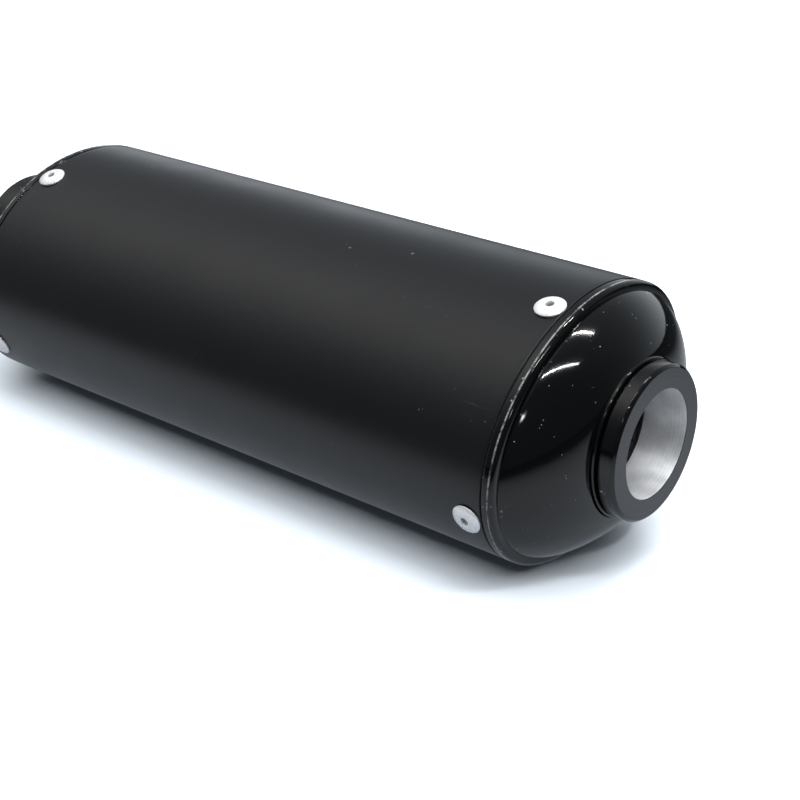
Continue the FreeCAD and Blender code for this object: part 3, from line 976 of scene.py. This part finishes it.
@dataclass
class Rivets:
    """Four set blind rivets at one end: domed heads with a broken pin in each crater."""

    end: End
    turned: float = 0.0
    head: float = 4.75
    height: float = 1.5
    crater: float = 1.42
    bore: float = 1.25
    recess: float = 0.85
    shank: float = 2.4
    depth: float = 5.5
    columns: int = 72

    def spots(self) -> list[tuple[Vector, Vector]]:
        """Centre and outward direction of each rivet, on the sleeve's surface.

        Returns:
            A centre and a direction for each rivet.
        """
        low, high = millimetres(f"{self.end.title}_rivets")
        sleeve = Sleeve()
        x = (low[0] + high[0]) / 2
        spots = []
        for quarter in range(4):
            angle = math.radians(90 * quarter + self.turned)
            side, up = math.sin(angle), math.cos(angle)
            centre = Vector((x, sleeve.half_width * side, sleeve.half_height * up))
            square = Vector((0, side / sleeve.half_width, up / sleeve.half_height))
            spots.append((centre, square.normalized()))
        return spots

    def head_outline(self) -> np.ndarray:
        """Half outline: foot, rim, dome, crater lip and bore.

        Returns:
            Rows of height and radius.
        """
        t = np.linspace(0, 1, 16)
        reach = self.head - (self.head - self.crater - 0.35) * t
        dome = 0.45 + (self.height - 0.45) * np.sin(t * math.pi / 2) ** 0.8
        corners = [(0.45, self.head), (0.05, self.head), (0.05, self.shank),
                   (-self.depth, self.shank), (-self.depth, self.bore)]
        lip = [(self.height - 0.3, self.bore), (self.height - 0.1, self.crater - 0.1),
               (self.height - 0.02, self.crater), (self.height, self.crater + 0.2)]
        return np.concatenate([np.array(corners[::-1]), np.column_stack([dome, reach]),
                               np.array(lip[::-1])])

    def pin_outline(self) -> np.ndarray:
        """Outline of the broken pin: an uneven snapped tip inside the bore.

        Returns:
            Rows of height and radius.
        """
        tip = self.height - self.recess
        return np.array([(-self.depth - 1, 0), (-self.depth - 1, self.bore - 0.03),
                         (tip - 0.12, self.bore - 0.03), (tip, self.bore - 0.2),
                         (tip - 0.1, self.bore * 0.55), (tip + 0.08, self.bore * 0.2),
                         (tip + 0.1, 0)])

    def set_in_place(self, outline: np.ndarray, name: str) -> Object:
        """Turn an outline about each rivet's own axis and join the four.

        Args:
            outline: rows of height and radius.
            name: the object's name.

        Returns:
            The object.
        """
        piece = Piece(name)
        angle = np.arange(self.columns) * TURN / self.columns
        for centre, out in self.spots():
            side = Vector((1, 0, 0))
            other = out.cross(side)
            frame_axes = np.array([list(out), list(side), list(other)])
            r = outline[:, 1:2]
            own = np.stack([np.repeat(outline[:, :1], self.columns, axis=1),
                            r * np.cos(angle), r * np.sin(angle)], axis=2)
            grid = (own @ frame_axes + np.array(centre)) * MM
            piece.add(grid)
        return piece.build(SHARP_RIVET)

    def build(self, finishes: Finishes) -> None:
        """Build the heads and the pins of this end.

        Args:
            finishes: the finishes.
        """
        rivet = f"{self.end.title}_rivet"
        heads = self.set_in_place(self.head_outline(), f"{rivet}_heads")
        finish_piece(heads, [f"{rivet}s"], [finishes.rivet])
        pins = self.set_in_place(self.pin_outline(), f"{rivet}_pins")
        finish_piece(pins, [f"{rivet}_mandrels"], [finishes.mandrel])


# -------- nodes kept from the frame


def dress_kept_nodes(finishes: Finishes) -> None:
    """Give the nodes that keep their own mesh their finish.

    Args:
        finishes: the finishes.
    """
    kept = dict(outlet_cap_seal=finishes.sealant, inlet_cap_seal=finishes.sealant,
                inlet_tube=finishes.stainless, perforated_core=finishes.core,
                steel_wool_wrap=finishes.wool, glass_packing=finishes.glass,
                inlet_set_screws=finishes.screw)
    for node, material in kept.items():
        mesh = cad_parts[node].data
        mesh.materials.clear()
        mesh.materials.append(material)
        log.info("%s: kept, %s", node, material.name)


# -------- studio


@dataclass(frozen=True)
class Glow:
    """A soft patch of light in the room, by its bearing and height in degrees."""

    bearing: float
    height: float
    strength: float
    tightness: float
    colour: Three


@dataclass(frozen=True)
class Tube:
    """A thin strip lamp between two points, in metres from the studio's aim."""

    name: str
    start: Three
    end: Three
    width: float
    power: float
    colour: Three


@dataclass(frozen=True)
class Softbox:
    """A square soft lamp that faces down, by its way behind the outlet end, height and size."""

    name: str
    behind: float
    height: float
    size: float
    power: float


@dataclass
class Studio:
    """Pale floor that the muffler lies on, a soft room, its lamps and the camera.

    The muffler lies on the sleeve's low side, so the floor's own upward direction is
    turned by the lean from the oval's narrow axis towards its wide one.
    """

    lean: float = math.radians(16.5)
    aim: Vector = field(default_factory=lambda: Vector((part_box("sleeve")[1][0], 0, 0)))
    camera_from_aim: Vector = field(default_factory=lambda: Vector((0.2205, -0.2818, 0.2919)))
    camera_right: Vector = field(default_factory=lambda: Vector((0.7728, 0.6084, -0.1805)))
    camera_forward: Vector = field(default_factory=lambda: Vector((-0.5747, 0.5502, -0.6058)))
    lens: float = 69.22
    sensor: float = 36.0
    sight: tuple[float, float] = (0.01, 60.0)
    softboxes: tuple[Softbox, ...] = (
        Softbox("near_softbox", -0.25, 0.9, 1.5, 23.0),
        Softbox("far_softbox", 2.0, 1.6, 1.6, 42.0),
    )
    floor_half: float = 9.0
    floor_white: Four = (0.8, 0.86, 0.93, 1)
    # Painted shade and painted glow that reflection rays see on the floor: its grey copy, the span
    # over which both dim with the distance, and the glow's colour and strength.
    reflected_floor_shade: Four = (0.2, 0.207, 0.216, 1)
    painted_floor_glow: Four = (0.87, 1.0, 1.14, 1)
    painted_floor_fade: Four = (0.03, 0.4, 1.1, 0.05)
    painted_bounce: float = 0.25
    mouth_lamp_side: Three = (0.62, -0.08, 0.78)
    mouth_lamp_away: float = 0.5
    mouth_lamp_inset: float = 0.006
    mouth_lamp_radius: float = 0.012
    mouth_lamp_degrees: float = 5.0
    mouth_lamp_blend: float = 0.5
    mouth_lamp_power: float = 4.2
    room_tint: Three = (0.88, 0.98, 1.08)
    room_facing: tuple[float, float] = (-0.6, 0.5)
    room_light: tuple[float, float] = (0.065, 0.21)
    glows: tuple[Glow, ...] = (
        Glow(-62, 56, 0.92, 12.6, (1.0, 0.97, 0.92)),
        Glow(-168, 42, 30.0, 1500.0, (0.85, 0.95, 1.0)),
        Glow(34, 4, 0.85, 9.0, (0.9, 0.97, 1.0)),
        Glow(-6, 0, 1.2, 40.0, (0.93, 0.98, 1.04)),
    )
    tubes: tuple[Tube, ...] = (
        Tube("far_tube", (0.0, 0.59, 1.0), (0.38, 0.85, 1.0), 0.008, 4.0, (1.0, 0.98, 0.95)),
        Tube("near_tube", (0.16, -0.01, 1.0), (0.67, 0.39, 1.0), 0.008, 4.0, (0.97, 0.99, 1.0)),
    )

    @property
    def up(self) -> Vector:
        """The floor's upward direction."""
        return Vector((0, math.sin(self.lean), math.cos(self.lean)))

    def bearing_axes(self) -> tuple[Vector, Vector]:
        """Level directions away from the camera and to its right.

        Returns:
            The two directions.
        """
        away = self.camera_forward - self.camera_forward.dot(self.up) * self.up
        away.normalize()
        return away, away.cross(self.up)

    def direction(self, bearing: float, height: float) -> Vector:
        """The direction at a bearing and a height.

        Args:
            bearing: degrees to the right of the camera's.
            height: degrees above the floor.

        Returns:
            The direction.
        """
        away, right = self.bearing_axes()
        turn, rise = math.radians(bearing), math.radians(height)
        level = away * math.cos(turn) + right * math.sin(turn)
        return level * math.cos(rise) + self.up * math.sin(rise)

    def floor(self) -> None:
        """A wide flat sheet that touches the lower of the oval and a rivet at its foot."""
        sleeve = Sleeve()
        t = np.linspace(0, TURN, 3600)
        down = -np.array(self.up)
        oval = np.column_stack([t * 0, sleeve.half_width * np.sin(t),
                                sleeve.half_height * np.cos(t)])
        rivet = np.array([0, 0, -sleeve.half_height - Rivets.height])
        drop = max(float((oval @ down).max()), float(rivet @ down)) * MM
        centre = self.aim - self.up * drop
        away, right = self.bearing_axes()
        signs = ((-1, -1), (-1, 1), (1, 1), (1, -1))
        corners = [centre + (away * a + right * b) * self.floor_half for a, b in signs]
        mesh = bpy.data.meshes.new("floor")
        mesh.from_pydata([tuple(corner) for corner in corners], [], [(0, 1, 2, 3)])
        floor = bpy.data.objects.new("floor", mesh)
        bpy.context.scene.collection.objects.link(floor)
        floor.data.materials.append(self.paper())

    def paper(self) -> Material:
        """White paper for the camera. Other rays see painted shade in its place, a greyer copy
        that dims with the distance, and a painted glow that fades the same way.

        Returns:
            The material.
        """
        g = Graph("pale_floor")
        # Distance on the floor from the outlet end, which dims the painted shade and the painted
        # glow.
        across = g.vectors("DOT_PRODUCT", g.place, (0, math.cos(self.lean), -math.sin(self.lean)))
        past = g.maths("MAXIMUM", g.maths("SUBTRACT", g.along(), self.aim.x), 0.0)
        squares = g.maths("ADD", g.maths("POWER", past, 2.0), g.maths("POWER", across, 2.0))
        painted_fade = g.ramp(g.maths("SQRT", squares), *self.painted_floor_fade)
        # Painted shade: reflection rays see the floor as this grey copy, darker with the distance.
        reflected_shade = g.blend(painted_fade, (0, 0, 0, 1), self.reflected_floor_shade)
        seen = g.node("ShaderNodeLightPath").outputs["Is Camera Ray"]
        # Painted glow: the floor emits light for reflection rays only, in place of bounce light,
        # fading with the distance.
        glow = g.maths("MULTIPLY", g.maths("SUBTRACT", 1.0, seen), painted_fade)
        g.set(Base_Color=g.blend(seen, reflected_shade, self.floor_white), Roughness=0.8,
              Specular_IOR_Level=0.0, Emission_Color=self.painted_floor_glow,
              Emission_Strength=g.maths("MULTIPLY", glow, self.painted_bounce))
        return g.owner

    def hang(self, data: bpy.types.Light, place: Vector, turn: Euler) -> Object:
        """Hang a lamp.

        Args:
            data: the lamp's own settings.
            place: where it hangs, in metres.
            turn: how it is turned.

        Returns:
            The lamp's object.
        """
        lamp = bpy.data.objects.new(data.name, data)
        lamp.location, lamp.rotation_euler = place, turn
        bpy.context.scene.collection.objects.link(lamp)
        return lamp

    def hang_tubes(self) -> None:
        """Thin bright strips that face the muffler."""
        for tube in self.tubes:
            start, end = Vector(tube.start), Vector(tube.end)
            middle = (start + end) / 2
            along = (end - start).normalized()
            out = (middle - along * middle.dot(along)).normalized()
            data = bpy.data.lights.new(tube.name, "AREA")
            data.shape, data.size, data.size_y = "RECTANGLE", (end - start).length, tube.width
            data.energy, data.color = tube.power, tube.colour
            turn = Matrix((along, out.cross(along), out)).transposed().to_euler()
            self.hang(data, self.aim + middle, turn)

    def hang_softboxes(self) -> None:
        """Soft lamps over the floor, hidden from the gloss of the coatings."""
        away, _ = self.bearing_axes()
        turn = self.up.to_track_quat("Z", "Y").to_euler()
        for box in self.softboxes:
            data = bpy.data.lights.new(box.name, "AREA")
            data.shape, data.size, data.energy = "SQUARE", box.size, box.power
            place = self.aim + away * box.behind + self.up * box.height
            self.hang(data, place, turn).visible_glossy = False

    def hang_mouth_lamp(self) -> None:
        """A narrow spot that shines into the outlet's bore."""
        inset = self.mouth_lamp_inset
        mouth = Vector((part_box("outlet_collar")[1][0] - inset, 0, -inset))
        towards = Vector(self.mouth_lamp_side).normalized()
        data = bpy.data.lights.new("mouth_lamp", "SPOT")
        data.energy, data.shadow_soft_size = self.mouth_lamp_power, self.mouth_lamp_radius
        data.spot_size = math.radians(self.mouth_lamp_degrees)
        data.spot_blend = self.mouth_lamp_blend
        turn = towards.to_track_quat("Z", "Y").to_euler()
        self.hang(data, mouth + towards * self.mouth_lamp_away, turn)

    def room(self) -> None:
        """A dim room, brighter behind the muffler, with soft glows.

        A glow falls off as e to the power of its tightness times the cosine, minus one,
        of the angle off its own direction.
        """
        g = Graph("room", world=True)
        bpy.context.scene.world = g.owner
        away, _ = self.bearing_axes()
        behind = g.ramp(g.vectors("DOT_PRODUCT", g.place, away), *self.room_facing,
                        *self.room_light)
        total = g.vectors("MULTIPLY", self.room_tint, behind)
        for glow in self.glows:
            towards = self.direction(glow.bearing, glow.height)
            off = g.maths("SUBTRACT", g.vectors("DOT_PRODUCT", g.place, towards), 1.0)
            share = g.maths("EXPONENT", g.maths("MULTIPLY", off, glow.tightness))
            colour = [channel * glow.strength for channel in glow.colour]
            total = g.vectors("MULTIPLY_ADD", colour, share, total)
        g.set(Color=total)

    def camera(self) -> None:
        """The camera, not rolled against the floor."""
        data = bpy.data.cameras.new("camera")
        data.lens, data.sensor_width = self.lens, self.sensor
        camera = bpy.data.objects.new("camera", data)
        forward = self.camera_forward.normalized()
        right = (self.camera_right - self.camera_right.dot(forward) * forward).normalized()
        turn = Matrix((right, right.cross(forward), -forward)).transposed()
        camera.location = self.aim + self.camera_from_aim
        camera.rotation_euler = turn.to_euler()
        data.clip_start, data.clip_end = self.sight
        bpy.context.scene.collection.objects.link(camera)
        bpy.context.scene.camera = camera
        bpy.context.scene.view_settings.view_transform = "Standard"

    def build(self) -> None:
        """Set up floor, lamps, room and camera."""
        self.floor()
        self.hang_tubes()
        self.hang_softboxes()
        self.hang_mouth_lamp()
        self.room()
        self.camera()


# -------- assembly


def main() -> None:
    """Build every piece in order, then the studio."""
    logging.basicConfig(level=logging.INFO, format="%(message)s")
    finishes = make_finishes()
    sleeve = Sleeve()
    sleeve.build(finishes)
    edges = {End.INLET: float(sleeve.low[0]), End.OUTLET: float(sleeve.high[0])}
    for end, edge_x in edges.items():
        Cap(end, edge_x, sleeve.half_width, sleeve.half_height).build(finishes)
        Rivets(end, INLET_RIVET_TURN if end is End.INLET else 0.0).build(finishes)
    NeckRing(End.OUTLET, "turned_collar", edges[End.OUTLET], bore=16.75,
             spigot=19.0).build(finishes)
    NeckRing(End.INLET, "black_collar", edges[End.INLET], bore=19.03, spigot=None,
             radius=26.2, face=31.0).build(finishes)
    dress_kept_nodes(finishes)
    Studio().build()


if __name__ == "__main__":
    main()
